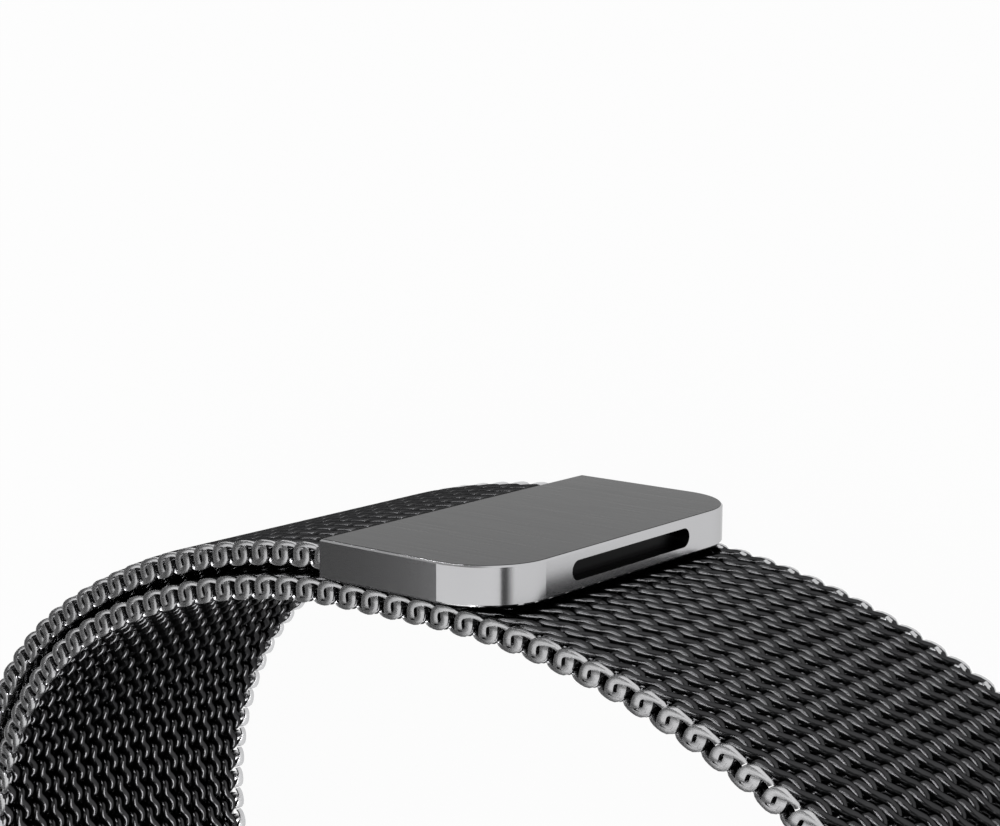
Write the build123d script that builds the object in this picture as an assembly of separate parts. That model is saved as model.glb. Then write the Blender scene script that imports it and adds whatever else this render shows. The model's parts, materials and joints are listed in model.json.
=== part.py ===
from build123d import *
import math
import os
from dataclasses import dataclass

# A milanese mesh band, closed into a loop and standing on its side edge.
# Lengths are in millimetres and turns in degrees. Z runs across the band's width.
# The loop is drawn in the XY plane with the clasp at its front, towards -Y, and then
# the whole band is set down with the middle of its footprint at the origin.

os.makedirs("parts", exist_ok=True)

# The woven mesh, as wide as the gap between the watch's lugs
mesh_width = 22.0
mesh_thickness = 1.45
knuckle_gap = 0.05
socket_wrap = 60.0

# The coils lie side by side across the band, with a groove between each and the next
coil_count = 121
groove_depth = 0.42
groove_width_share = 0.5
groove_end_margin = 1.2

# The clasp block, which stands past the mesh on each side
clasp_side_step = 0.75
clasp_length = 12.2
clasp_thickness = 2.2
tip_corner_radius = 4.0
clasp_bevel = 0.12
clasp_outer_wall = 0.4
mesh_socket_depth = 1.9
mesh_socket_gap = 0.05
mesh_depth_in_clasp = 1.2
nail_slot_length = 11.0
nail_slot_height = 1.1
nail_slot_depth = 0.85

# What the clasp holds
gasket_entry_margin = 2.2
gasket_tip_margin = 1.15
gasket_side_margin = 1.05
gasket_width = 0.9
gasket_corner_radius = 2.8
gasket_seat_depth = 0.35
gasket_rise = 0.15
gasket_round = 0.14
cover_thickness = 0.3
cover_rise = 0.05
cover_gap = 0.05
back_plate_thickness = 0.3
magnet_count = 3
magnet_side_gap = 0.3
magnet_end_gap = 1.1
magnet_spacing = 0.1

# The closed loop's centre line, from the clasp outwards on each side
seat_gap = 0.1
seat_flat = 5.4
seat_flat_start = 1.3
ring_crown_radius = 44.0
ring_crown_turn = 28.0
ring_flank_radius = 21.0
ring_flank_turn = 67.0
ring_lug_radius = 13.7
ring_lug_turn = 45.0
plain_crown_radius = 45.6
plain_crown_turn = 29.0
plain_flank_radius = 16.7
plain_flank_turn = 111.0
plain_lug_length = 9.5
tail_crown_turn = 32.0

# Where the mesh bends: past the clasp's entry and its tip, along the centre line from
# there, as shares of the tail's free length, and as a share of the tail's last stretch
entry_hinge_offset = 1.0
tip_hinge_offset = 0.8
ring_crown_piece_length = 24.0
plain_piece_count = 3
tail_near_hinge_share = 0.15
tail_far_hinge_share = 0.89
tail_upper_flank_share = 0.31

# The slot ring that the tail is folded round
slot_bar_radius = 1.0
fold_gap = 0.1
fold_clearance = 0.3
ring_side_wall = 0.65
ring_cheek_radius = 1.25
ring_crossbar_length = 1.0
ring_crossbar_height = 2.0
ring_web_length = 2.3
ring_web_height = 1.8

# The end pieces' tubes and the bar at the plain end
lug_side_gap = 0.1
end_tube_radius = 1.65
bar_running_gap = 0.05
end_bar_channel_depth = 2.6
end_bar_lip = 0.45
end_bar_axis_offset = 1.5
end_pin_radius = 0.4
end_pin_inset = 1.3
end_pin_spacing = 7.0
end_pin_count = 3
end_pin_gap = 0.02

# The quick-release spring bars
bar_radius = 0.9
bar_bore_radius = 0.6
bar_mouth_radius = 0.47
bar_mouth_length = 0.35
pivot_radius = 0.4
collar_radius = 0.8
collar_length = 0.5
fixed_stem_length = 2.0
tip_travel = 1.1
tip_travel_spare = 0.45
neck_radius = 0.42
piston_radius = 0.57
piston_length = 3.0
piston_end_gap = 0.05
spring_wire_radius = 0.1
spring_coil_radius = 0.4
spring_turns = 18
release_stem_radius = 0.3
release_stem_gap = 0.05
release_stem_seat = 0.3
release_head_radius = 0.6
release_head_thickness = 0.5
release_head_gap = 0.1
release_window_gap = 0.1

# The shortest stretch of the line worth drawing, and one overrun for every cut
shortest_run = 0.01
overrun = 1.0

half_mesh = mesh_thickness / 2
clasp_width = mesh_width + 2 * clasp_side_step
middle = clasp_width / 2


@dataclass(frozen=True)
class Run:
    """A straight or round stretch of the centre line. A left turn is positive."""

    x: float
    y: float
    heading: float
    length: float
    curvature: float

    def at(self, distance):
        """The point and heading a distance along the run."""
        heading = self.heading + distance * self.curvature
        if self.curvature == 0:
            return (
                self.x + distance * math.cos(heading),
                self.y + distance * math.sin(heading),
                heading,
            )
        radius = 1 / self.curvature
        return (
            self.x + radius * (math.sin(heading) - math.sin(self.heading)),
            self.y - radius * (math.cos(heading) - math.cos(self.heading)),
            heading,
        )

    def part(self, start, end):
        """The stretch of the run between two distances along it."""
        x, y, heading = self.at(start)
        return Run(x, y, heading, end - start, self.curvature)

    def back(self):
        """The same run, walked the other way."""
        x, y, heading = self.at(self.length)
        return Run(x, y, heading + math.pi, self.length, -self.curvature)


def arc(radius, turn, way=1):
    """Length and curvature of an arc. The way is +1 to the left and -1 to the right."""
    return radius * math.radians(turn), way / radius


def chain(x, y, heading, stretches):
    """Runs that follow each other from a start, each given as length and curvature."""
    runs = []
    for length, curvature in stretches:
        runs.append(Run(x, y, heading, length, curvature))
        x, y, heading = runs[-1].at(length)
    return runs


def walk_back(runs):
    return [run.back() for run in reversed(runs)]


class Path:
    """The mesh's centre line, measured by distance from its first point."""

    def __init__(self, runs):
        self.runs = runs
        self.length = sum(run.length for run in runs)

    def at(self, distance):
        for run in self.runs:
            if distance <= run.length:
                return run.at(distance)
            distance -= run.length
        return self.runs[-1].at(self.runs[-1].length)

    def between(self, start, end):
        """The runs between two distances, cut to fit."""
        found, begin = [], 0
        for run in self.runs:
            low, high = max(start - begin, 0), min(end - begin, run.length)
            if high - low > shortest_run:
                found.append(run.part(low, high))
            begin += run.length
        return found

    def where_x(self, x, low, high):
        """The distance between low and high at which the line crosses x, by halving."""
        rising = self.at(high)[0] > self.at(low)[0]
        for _ in range(60):
            half = (low + high) / 2
            if (self.at(half)[0] < x) == rising:
                low = half
            else:
                high = half
        return low


def beside(x, y, heading, offset):
    """The point an offset to the left of a point on the line."""
    return (x - offset * math.sin(heading), y + offset * math.cos(heading))


def ahead(x, y, heading, distance):
    return (x + distance * math.cos(heading), y + distance * math.sin(heading))


# The seat of the clasp: the band's outer face lies a small gap below the gasket
seat_line = clasp_thickness + gasket_rise + seat_gap + half_mesh
seat_start_x = -seat_flat_start - seat_flat

plain_side = walk_back(
    chain(
        seat_start_x,
        seat_line,
        math.pi,
        [
            arc(plain_crown_radius, plain_crown_turn, -1),
            arc(plain_flank_radius, plain_flank_turn, -1),
            (plain_lug_length, 0),
        ],
    )
)
ring_side = chain(
    seat_start_x,
    seat_line,
    0,
    [
        (seat_flat, 0),
        arc(ring_crown_radius, ring_crown_turn),
        arc(ring_flank_radius, ring_flank_turn),
        arc(ring_lug_radius, ring_lug_turn),
    ],
)

# The slot bar lies on the outer side of the lower layer's end
fold_radius = slot_bar_radius + fold_gap + half_mesh
fold_start_x, fold_start_y, fold_start_heading = ring_side[-1].at(ring_side[-1].length)
slot_x, slot_y = beside(fold_start_x, fold_start_y, fold_start_heading, -fold_radius)

# The tail leaves the clasp beside the crown, with the same arc, and one last arc brings
# it round the outside of the slot bar, tangent to both the crown arc and the fold
tail_start = chain(
    -mesh_socket_depth,
    mesh_depth_in_clasp,
    0,
    [
        (mesh_socket_depth - seat_flat_start, 0),
        arc(ring_crown_radius, tail_crown_turn),
    ],
)
crown_x, crown_y, crown_heading = tail_start[-1].at(tail_start[-1].length)
inward_x, inward_y = -math.sin(crown_heading), math.cos(crown_heading)
gap_x, gap_y = crown_x - slot_x, crown_y - slot_y
tail_flank_radius = (fold_radius**2 - gap_x**2 - gap_y**2) / (
    2 * (inward_x * gap_x + inward_y * gap_y + fold_radius)
)
centre_x = crown_x + tail_flank_radius * inward_x
centre_y = crown_y + tail_flank_radius * inward_y
tail_end_heading = math.atan2(slot_y - centre_y, slot_x - centre_x) + math.pi / 2
tail_flank_turn = math.degrees((tail_end_heading - crown_heading) % (2 * math.pi))
tail = tail_start + chain(
    crown_x, crown_y, crown_heading, [arc(tail_flank_radius, tail_flank_turn)]
)
fold_turn = (fold_start_heading - (tail_end_heading + math.pi)) % (2 * math.pi)
fold = chain(
    fold_start_x,
    fold_start_y,
    fold_start_heading,
    [(fold_radius * fold_turn, -1 / fold_radius)],
)

band = Path(plain_side + ring_side + fold + walk_back(tail))
coil_pitch = band.length / coil_count
half_groove = groove_width_share * coil_pitch / 2
plain_length = sum(run.length for run in plain_side)
lower_length = plain_length + sum(run.length for run in ring_side)
fold_end = lower_length + fold[0].length


def grooves_between(first, last):
    """The middles of the grooves that lie well inside a stretch of the mesh, clear of
    the end bar and of the clasp."""
    low = max(first, end_bar_channel_depth) + groove_end_margin
    high = min(last, band.length - mesh_socket_depth) - groove_end_margin
    places = [(number + 1 / 2) * coil_pitch for number in range(coil_count)]
    return [place for place in places if low < place < high]


def side_edges(first, last, offset):
    """One side of a strip's outline: the line's own curve along the coils' crests, and
    straight in and out again at the grooves."""
    edges, begin = [], first
    for groove in [*grooves_between(first, last), None]:
        end = last if groove is None else groove - half_groove
        for run in band.between(begin, end):
            points = [
                beside(*run.at(run.length * share), offset)
                for share in (0, 1 / 2, 1)
            ]
            if run.curvature == 0:
                edges.append(Line(points[0], points[2]))
            else:
                edges.append(ThreePointArc(*points))
        if groove is not None:
            begin = groove + half_groove
            bottom = offset * (1 - groove_depth / half_mesh)
            near = beside(*band.at(end), offset)
            deepest = beside(*band.at(groove), bottom)
            far = beside(*band.at(begin), offset)
            edges += [Line(near, deepest), Line(deepest, far)]
    return edges


def end_edge(place, form, way):
    """The line or arc that closes a strip, ahead of it for a way of 1."""
    x, y, heading = band.at(place)
    near, far = (beside(x, y, heading, side * half_mesh) for side in (1, -1))
    if form == "knuckle":
        return ThreePointArc(near, ahead(x, y, heading, way * half_mesh), far)
    return Line(near, far)


def strip(start, end, start_form="flat", end_form="flat"):
    """A stretch of the mesh as one solid. A form of knuckle rounds that end about the
    hinge line, and a form of socket hollows it to take the next piece's knuckle."""
    lip = (half_mesh + knuckle_gap) * math.cos(math.radians(socket_wrap))
    first = start + (lip if start_form == "socket" else 0)
    last = end - (lip if end_form == "socket" else 0)
    edges = side_edges(first, last, half_mesh)
    edges.append(end_edge(last, end_form, 1))
    edges += side_edges(first, last, -half_mesh)[::-1]
    edges.append(end_edge(first, start_form, -1))
    face = Face(Wire([edge.edge() for edge in edges]))
    solid = extrude(face, amount=mesh_width, dir=(0, 0, 1))
    solid = Pos(0, 0, middle - mesh_width / 2) * solid
    for place, form in ((start, start_form), (end, end_form)):
        if form == "socket":
            x, y, _ = band.at(place)
            solid -= Pos(x, y, middle) * Cylinder(
                half_mesh + knuckle_gap, mesh_width + 2 * overrun
            )
    return solid


def lying(sketch, low, high):
    """A sketch of the clasp's outline, drawn as length and width, made a solid between
    two depths below the clasp's outer face."""
    solid = extrude(Plane.XZ * sketch, amount=-(high - low))
    return Pos(0, low, middle) * solid


def rounded(length, width, radius, centre):
    """A rounded rectangle, its middle at a distance in from the mesh end."""
    return Pos(-centre, 0) * RectangleRounded(length, width, radius)


gasket_length = clasp_length - gasket_entry_margin - gasket_tip_margin
gasket_span = clasp_width - 2 * gasket_side_margin
gasket_centre = gasket_entry_margin + gasket_length / 2
pocket_length = gasket_length - 2 * gasket_width
pocket_span = gasket_span - 2 * gasket_width
pocket_corner_radius = gasket_corner_radius - gasket_width
back_plate_floor = clasp_outer_wall
magnet_floor = back_plate_floor + back_plate_thickness
cover_top = clasp_thickness + cover_rise
cover_floor = cover_top - cover_thickness
gasket_floor = clasp_thickness - gasket_seat_depth


def clasp_body():
    """The milled block: square corners at the mesh end, large round ones at the tip."""
    half = clasp_width / 2
    block = Pos(-clasp_length / 2, 0) * Rectangle(clasp_length, clasp_width)
    tip_corners = block.vertices().group_by(Axis.X)[0]
    block = fillet(tip_corners, tip_corner_radius)
    body = lying(block, 0, clasp_thickness)
    rims = (
        body.faces().sort_by(Axis.Y)[0].edges()
        + body.faces().sort_by(Axis.Y)[-1].edges()
    )
    body = chamfer(rims, clasp_bevel)
    socket = Box(
        mesh_socket_depth + overrun,
        mesh_thickness + 2 * mesh_socket_gap,
        mesh_width + 2 * mesh_socket_gap,
        align=(Align.MIN, Align.CENTER, Align.CENTER),
    )
    body -= Pos(-mesh_socket_depth, mesh_depth_in_clasp, half) * socket
    groove = rounded(gasket_length, gasket_span, gasket_corner_radius, gasket_centre)
    body -= lying(groove, gasket_floor, clasp_thickness + overrun)
    pocket = rounded(pocket_length, pocket_span, pocket_corner_radius, gasket_centre)
    body -= lying(pocket, back_plate_floor, clasp_thickness + overrun)
    slot = extrude(
        Plane.YZ * SlotOverall(nail_slot_length, nail_slot_height, rotation=90),
        amount=nail_slot_depth + overrun,
    )
    body -= Pos(-clasp_length - overrun, clasp_thickness / 2, half) * slot
    return body


def magnet_back_plate():
    outline = rounded(
        pocket_length - 2 * cover_gap,
        pocket_span - 2 * cover_gap,
        pocket_corner_radius - cover_gap,
        gasket_centre,
    )
    return lying(outline, back_plate_floor, magnet_floor)


def clasp_magnets():
    """Bar magnets side by side across the clasp."""
    width = pocket_length - 2 * magnet_side_gap
    spaces = (magnet_count - 1) * magnet_spacing
    length = (pocket_span - 2 * magnet_end_gap - spaces) / magnet_count
    magnets = []
    for number in range(magnet_count):
        shift = (number - (magnet_count - 1) / 2) * (length + magnet_spacing)
        outline = Pos(-gasket_centre, shift) * Rectangle(width, length)
        magnets.append(lying(outline, magnet_floor, cover_floor))
    return magnets


def magnet_cover():
    outline = rounded(
        pocket_length - 2 * cover_gap,
        pocket_span - 2 * cover_gap,
        pocket_corner_radius - cover_gap,
        gasket_centre,
    )
    return lying(outline, cover_floor, cover_top)


def magnet_gasket():
    """The rubber ring round the cover, rounded where it meets the mesh."""
    outline = rounded(gasket_length, gasket_span, gasket_corner_radius, gasket_centre)
    hole = rounded(pocket_length, pocket_span, pocket_corner_radius, gasket_centre)
    ring = lying(outline - hole, gasket_floor, clasp_thickness + gasket_rise)
    return fillet(ring.faces().sort_by(Axis.Y)[-1].edges(), gasket_round)


def cylinder(radius, low, high):
    """A round rod about the Z axis between two heights."""
    return Pos(0, 0, low) * Cylinder(
        radius, high - low, align=(Align.CENTER, Align.CENTER, Align.MIN)
    )


# Heights along a spring bar, from the free end of its fixed pivot upwards
tube_low = clasp_side_step + lug_side_gap
tube_high = clasp_width - tube_low
bar_low = tube_low + collar_length
collar_high = tube_high - collar_length
bar_high = collar_high - tip_travel - tip_travel_spare
piston_high = bar_high - bar_mouth_length - piston_end_gap
piston_low = piston_high - piston_length
release_height = piston_high - piston_length / 2
window_low = release_height - tip_travel


def slide_slot(radius, reach_from, reach_to, side):
    """The room that the release pin's stem sweeps, between two distances from the axis."""
    slot = Box(
        2 * radius,
        reach_to - reach_from,
        release_height - window_low + 2 * radius,
        align=(Align.CENTER, Align.MIN, Align.CENTER),
    )
    slot = Pos(0, reach_from, (release_height + window_low) / 2) * slot
    return slot if side > 0 else mirror(slot, about=Plane.XZ)


def spring_bar(side):
    """One quick-release spring bar about the Z axis. side is +1 or -1, the way along Y
    that its release pin points."""
    tube = cylinder(bar_radius, bar_low, bar_high)
    tube -= cylinder(bar_bore_radius, bar_low - overrun, bar_high - bar_mouth_length)
    tube -= cylinder(bar_mouth_radius, bar_low, bar_high + overrun)
    tube -= slide_slot(release_stem_radius + release_stem_gap, 0, bar_radius + overrun, side)
    fixed_tip = cylinder(pivot_radius, 0, tube_low)
    fixed_tip += cylinder(collar_radius, tube_low, bar_low)
    fixed_tip += cylinder(bar_bore_radius, bar_low, bar_low + fixed_stem_length)
    sliding_tip = cylinder(piston_radius, piston_low, piston_high)
    sliding_tip += cylinder(neck_radius, piston_high, collar_high)
    sliding_tip += cylinder(collar_radius, collar_high, tube_high)
    sliding_tip += cylinder(pivot_radius, tube_high, clasp_width)
    stem_foot = piston_radius - release_stem_seat
    stem_top = end_tube_radius + release_head_gap
    stem = Cylinder(
        release_stem_radius,
        stem_top - stem_foot,
        align=(Align.CENTER, Align.CENTER, Align.MIN),
    )
    head = Cylinder(
        release_head_radius,
        release_head_thickness,
        align=(Align.CENTER, Align.CENTER, Align.MIN),
    )
    pin = Pos(0, 0, stem_foot) * stem + Pos(0, 0, stem_top) * head
    pin = Pos(0, 0, release_height) * Rot(-90 * side, 0, 0) * pin
    sliding_tip -= pin
    spring_low = bar_low + fixed_stem_length + spring_wire_radius
    spring_length = piston_low - spring_wire_radius - spring_low
    coil = Helix(spring_length / spring_turns, spring_length, spring_coil_radius)
    wire = Plane(coil @ 0, z_dir=coil % 0) * Circle(spring_wire_radius)
    spring = Pos(0, 0, spring_low) * sweep(wire, path=coil, is_frenet=True)
    return {
        "tube": tube,
        "fixed_tip": fixed_tip,
        "sliding_tip": sliding_tip,
        "release_pin": pin,
        "spring": spring,
    }


def end_tube(side):
    """The tube that a spring bar lies in, with the window for its release pin."""
    tube = cylinder(end_tube_radius, tube_low, tube_high)
    return tube, (
        cylinder(bar_radius + bar_running_gap, 0, clasp_width),
        slide_slot(
            release_stem_radius + release_window_gap, 0, end_tube_radius + overrun, side
        ),
    )


# Distances from the slot bar's axis towards the watch
crossbar_start = fold_radius + half_mesh + fold_clearance
crossbar_end = crossbar_start + ring_crossbar_length
lug_axis_distance = crossbar_end + ring_web_length


def slot_ring():
    """The ring: a round bar for the fold, two cheeks, a crossbar and the lug tube."""
    ring = cylinder(slot_bar_radius, 0, clasp_width)
    cheek = Box(
        crossbar_end,
        2 * ring_cheek_radius,
        ring_side_wall,
        align=(Align.MIN, Align.CENTER, Align.MIN),
    ) + cylinder(ring_cheek_radius, 0, ring_side_wall)
    for low in (0, clasp_width - ring_side_wall):
        ring += Pos(0, 0, low) * cheek
    ring += Pos(crossbar_start, 0, 0) * Box(
        ring_crossbar_length,
        ring_crossbar_height,
        clasp_width,
        align=(Align.MIN, Align.CENTER, Align.MIN),
    )
    ring += Pos(crossbar_end, 0, tube_low) * Box(
        ring_web_length,
        ring_web_height,
        tube_high - tube_low,
        align=(Align.MIN, Align.CENTER, Align.MIN),
    )
    tube, cuts = end_tube(1)
    ring += Pos(lug_axis_distance, 0, 0) * tube
    for cut in cuts:
        ring -= Pos(lug_axis_distance, 0, 0) * cut
    return ring


end_bar_height = mesh_thickness + 2 * mesh_socket_gap + 2 * end_bar_lip


def end_pins():
    """The cross pins that hold the mesh in the end bar, along the bar's Y."""
    pins = []
    for number in range(end_pin_count):
        shift = (number - (end_pin_count - 1) / 2) * end_pin_spacing
        pin = Rot(90, 0, 0) * Cylinder(end_pin_radius, end_bar_height)
        pins.append(Pos(-end_bar_axis_offset - end_pin_inset, 0, middle + shift) * pin)
    return pins


def pin_holes(height):
    holes = []
    for number in range(end_pin_count):
        shift = (number - (end_pin_count - 1) / 2) * end_pin_spacing
        hole = Rot(90, 0, 0) * Cylinder(end_pin_radius + end_pin_gap, height)
        holes.append(Pos(-end_bar_axis_offset - end_pin_inset, 0, middle + shift) * hole)
    return holes


def plain_end_bar():
    """The bar crimped on the mesh's plain end. Its tube is at the origin and the mesh
    comes in from -X."""
    reach = end_bar_axis_offset + end_bar_channel_depth
    bar = Pos(-reach, 0, tube_low) * Box(
        reach,
        end_bar_height,
        tube_high - tube_low,
        align=(Align.MIN, Align.CENTER, Align.MIN),
    )
    tube, cuts = end_tube(-1)
    bar += tube
    channel = Box(
        end_bar_channel_depth + mesh_socket_gap + overrun,
        mesh_thickness + 2 * mesh_socket_gap,
        clasp_width + 2 * overrun,
        align=(Align.MAX, Align.CENTER, Align.CENTER),
    )
    bar -= Pos(-end_bar_axis_offset + mesh_socket_gap, 0, middle) * channel
    for cut in (*cuts, *pin_holes(end_bar_height + 2 * overrun)):
        bar -= cut
    return bar


# Hinge lines: distances along the band from its plain end
tail_free_length = sum(run.length for run in tail) - mesh_socket_depth


def on_tail(share):
    """The distance along the band of a place on the tail, a share of the way from the
    clasp to the fold."""
    return band.length - mesh_socket_depth - share * tail_free_length


plain_hinge_1 = band.where_x(
    -clasp_length - tip_hinge_offset, plain_length / 2, plain_length
)
plain_hinge_2 = plain_hinge_1 * (plain_piece_count - 1) / plain_piece_count
plain_hinge_3 = plain_hinge_1 / plain_piece_count
ring_hinge_1 = band.where_x(
    entry_hinge_offset, plain_length, plain_length + ring_crown_piece_length
)
ring_hinge_2 = ring_hinge_1 + ring_crown_piece_length
tail_hinge_1 = band.where_x(
    entry_hinge_offset, on_tail(tail_near_hinge_share), band.length
)
tail_hinge_2 = on_tail(tail_near_hinge_share)
tail_hinge_5 = on_tail(tail_far_hinge_share)
tail_hinge_3 = band.where_x(band.at(ring_hinge_2)[0], tail_hinge_5, tail_hinge_2)
tail_hinge_4 = tail_hinge_3 - tail_upper_flank_share * (tail_hinge_3 - tail_hinge_5)

mesh_pieces = {
    "plain_mesh_end": (0, plain_hinge_3, "flat", "knuckle"),
    "plain_mesh_flank": (plain_hinge_3, plain_hinge_2, "socket", "knuckle"),
    "plain_mesh_crown": (plain_hinge_2, plain_hinge_1, "socket", "socket"),
    "mesh_under_clasp": (plain_hinge_1, ring_hinge_1, "knuckle", "knuckle"),
    "ring_mesh_crown": (ring_hinge_1, ring_hinge_2, "socket", "knuckle"),
    "ring_mesh_flank": (ring_hinge_2, lower_length, "socket", "flat"),
    "mesh_fold": (lower_length, fold_end, "flat", "flat"),
    "tail_mesh_end": (fold_end, tail_hinge_5, "flat", "knuckle"),
    "tail_mesh_lower_flank": (tail_hinge_5, tail_hinge_4, "socket", "knuckle"),
    "tail_mesh_upper_flank": (tail_hinge_4, tail_hinge_3, "socket", "knuckle"),
    "tail_mesh_crown": (tail_hinge_3, tail_hinge_2, "socket", "knuckle"),
    "tail_mesh_near_clasp": (tail_hinge_2, tail_hinge_1, "socket", "knuckle"),
    "tail_mesh_in_clasp": (tail_hinge_1, band.length, "socket", "flat"),
}

parts = {name: strip(*limits) for name, limits in mesh_pieces.items()}
parts["clasp_body"] = clasp_body()
parts["magnet_back_plate"] = magnet_back_plate()
parts["clasp_magnets"] = clasp_magnets()
parts["magnet_cover"] = magnet_cover()
parts["magnet_gasket"] = magnet_gasket()

# The ring sits on the fold's axis, in line with the lower layer's end
ring_place = Pos(slot_x, slot_y, 0) * Rot(0, 0, math.degrees(fold_start_heading))
ring_lug_place = ring_place * Pos(lug_axis_distance, 0, 0)
parts["slot_ring"] = ring_place * slot_ring()
for name, solid in spring_bar(1).items():
    parts[f"ring_bar_{name}"] = ring_lug_place * solid

# The plain end's bar points on from the mesh's first point
plain_x, plain_y, plain_heading = band.at(0)
plain_axis = ahead(plain_x, plain_y, plain_heading, -end_bar_axis_offset)
plain_place = Pos(*plain_axis, 0) * Rot(0, 0, math.degrees(plain_heading) + 180)
parts["plain_end_bar"] = plain_place * plain_end_bar()
parts["plain_end_pins"] = [plain_place * pin for pin in end_pins()]
for hole in pin_holes(end_bar_height):
    parts["plain_mesh_end"] -= plain_place * hole
for name, solid in spring_bar(-1).items():
    parts[f"plain_bar_{name}"] = plain_place * solid

# Set the whole band down with the middle of its footprint at the origin
shapes = {
    name: Compound(children=shape) if isinstance(shape, list) else shape
    for name, shape in parts.items()
}
box = Compound(children=[Compound(shape.solids()) for shape in shapes.values()]).bounding_box()
shift = Pos(-box.center().X, -box.center().Y, -box.min.Z)

for name, shape in shapes.items():
    moved = shift * Compound(shape.solids())
    export_step(moved, f"parts/{name}.step")


def placed(x, y):
    """A place in the loop's drawing, after the band is set down."""
    return round(x - box.center().X, 4), round(y - box.center().Y, 4)


hinges = {
    "plain_hinge_1": plain_hinge_1,
    "plain_hinge_2": plain_hinge_2,
    "plain_hinge_3": plain_hinge_3,
    "ring_hinge_1": ring_hinge_1,
    "ring_hinge_2": ring_hinge_2,
    "tail_hinge_1": tail_hinge_1,
    "tail_hinge_2": tail_hinge_2,
    "tail_hinge_3": tail_hinge_3,
    "tail_hinge_4": tail_hinge_4,
    "tail_hinge_5": tail_hinge_5,
}
for name, distance in hinges.items():
    print(name, "at", round(distance, 3), "place", placed(*band.at(distance)[:2]))
print("slot bar axis", placed(slot_x, slot_y))
lug_x, lug_y = ahead(slot_x, slot_y, fold_start_heading, lug_axis_distance)
print("ring spring bar axis", placed(lug_x, lug_y))
print("plain spring bar axis", placed(*plain_axis))
print("clasp entry at its outer face", placed(0, 0))
print("mesh length", round(band.length, 2), "tail flank radius", round(tail_flank_radius, 2))
print("springs' fixed ends at height", round(bar_low + fixed_stem_length, 3))
print("footprint", round(box.size.X, 2), round(box.size.Y, 2), round(box.size.Z, 2))
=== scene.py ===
"""A milanese mesh band, closed into a loop and standing on edge on a pale floor.

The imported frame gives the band's bodies, hinges and hard parts. The mesh itself is
built here as wire coils screwed into each other, with its two edges ground flat.
"""

import functools
import json
import logging
import math
from dataclasses import dataclass, field
from enum import Enum

import bpy
import numpy as np
from mathutils import Matrix, Vector

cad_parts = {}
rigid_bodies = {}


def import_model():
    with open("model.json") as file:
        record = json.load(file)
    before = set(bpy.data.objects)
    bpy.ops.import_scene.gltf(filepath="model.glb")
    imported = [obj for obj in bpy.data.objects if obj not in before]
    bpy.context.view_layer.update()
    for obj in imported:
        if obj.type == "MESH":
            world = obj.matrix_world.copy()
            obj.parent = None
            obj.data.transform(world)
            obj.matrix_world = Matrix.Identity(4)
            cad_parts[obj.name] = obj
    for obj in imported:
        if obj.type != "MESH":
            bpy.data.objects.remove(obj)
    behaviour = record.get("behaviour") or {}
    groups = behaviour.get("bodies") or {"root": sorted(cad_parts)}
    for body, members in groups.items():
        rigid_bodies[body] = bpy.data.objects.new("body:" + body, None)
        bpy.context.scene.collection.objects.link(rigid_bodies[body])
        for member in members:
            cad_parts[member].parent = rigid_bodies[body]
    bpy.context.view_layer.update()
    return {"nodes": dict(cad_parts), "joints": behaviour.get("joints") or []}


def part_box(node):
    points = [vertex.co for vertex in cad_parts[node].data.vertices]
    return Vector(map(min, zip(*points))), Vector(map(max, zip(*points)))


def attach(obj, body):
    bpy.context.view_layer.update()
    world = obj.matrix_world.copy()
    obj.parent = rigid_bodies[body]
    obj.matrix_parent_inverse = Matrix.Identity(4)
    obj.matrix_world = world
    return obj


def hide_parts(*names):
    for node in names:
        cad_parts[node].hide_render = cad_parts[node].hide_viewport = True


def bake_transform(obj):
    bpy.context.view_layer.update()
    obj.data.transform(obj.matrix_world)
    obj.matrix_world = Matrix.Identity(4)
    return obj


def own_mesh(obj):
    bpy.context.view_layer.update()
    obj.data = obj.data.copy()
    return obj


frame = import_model()

log = logging.getLogger("band")
MILLIMETRE = 0.001
TINY = 1e-9


# Shader maths


class Wire:
    """A shader socket that takes Python's operators."""

    def __init__(self, graph: "Graph", socket: bpy.types.NodeSocket) -> None:
        """Keeps the socket and the graph that it belongs to."""
        self.graph = graph
        self.socket = socket

    def math(self, operation: str, *others: object) -> "Wire":
        """Adds a Math node on this value.

        Args:
            operation: the Math node's operation.
            others: its other inputs, as values or wires.

        Returns:
            The node's result.
        """
        inputs = dict(enumerate((self, *others)))
        return self.graph.node("ShaderNodeMath", {"operation": operation}, inputs)

    def __add__(self, other: object) -> "Wire":
        """Adds two values."""
        return self.math("ADD", other)

    def __mul__(self, other: object) -> "Wire":
        """Multiplies two values."""
        return self.math("MULTIPLY", other)

    def __sub__(self, other: object) -> "Wire":
        """Takes the other value from this one."""
        return self.math("SUBTRACT", other)

    def __rsub__(self, other: object) -> "Wire":
        """Takes this value from a number."""
        return self.math("MULTIPLY", -1).math("ADD", other)

    def __gt__(self, other: object) -> "Wire":
        """One where this value is greater, and nought elsewhere."""
        return self.math("GREATER_THAN", other)

    def __lt__(self, other: object) -> "Wire":
        """One where this value is less, and nought elsewhere."""
        return self.math("LESS_THAN", other)

    __radd__ = __add__
    __rmul__ = __mul__

    def clamped(self) -> "Wire":
        """The value held between nought and one."""
        return self.math("MINIMUM", 1).math("MAXIMUM", 0)


@dataclass(frozen=True)
class Pattern:
    """Smooth noise: bumps to the millimetre along each axis, and layers of detail."""

    scale: tuple[float, float, float]
    detail: float = 2


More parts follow.
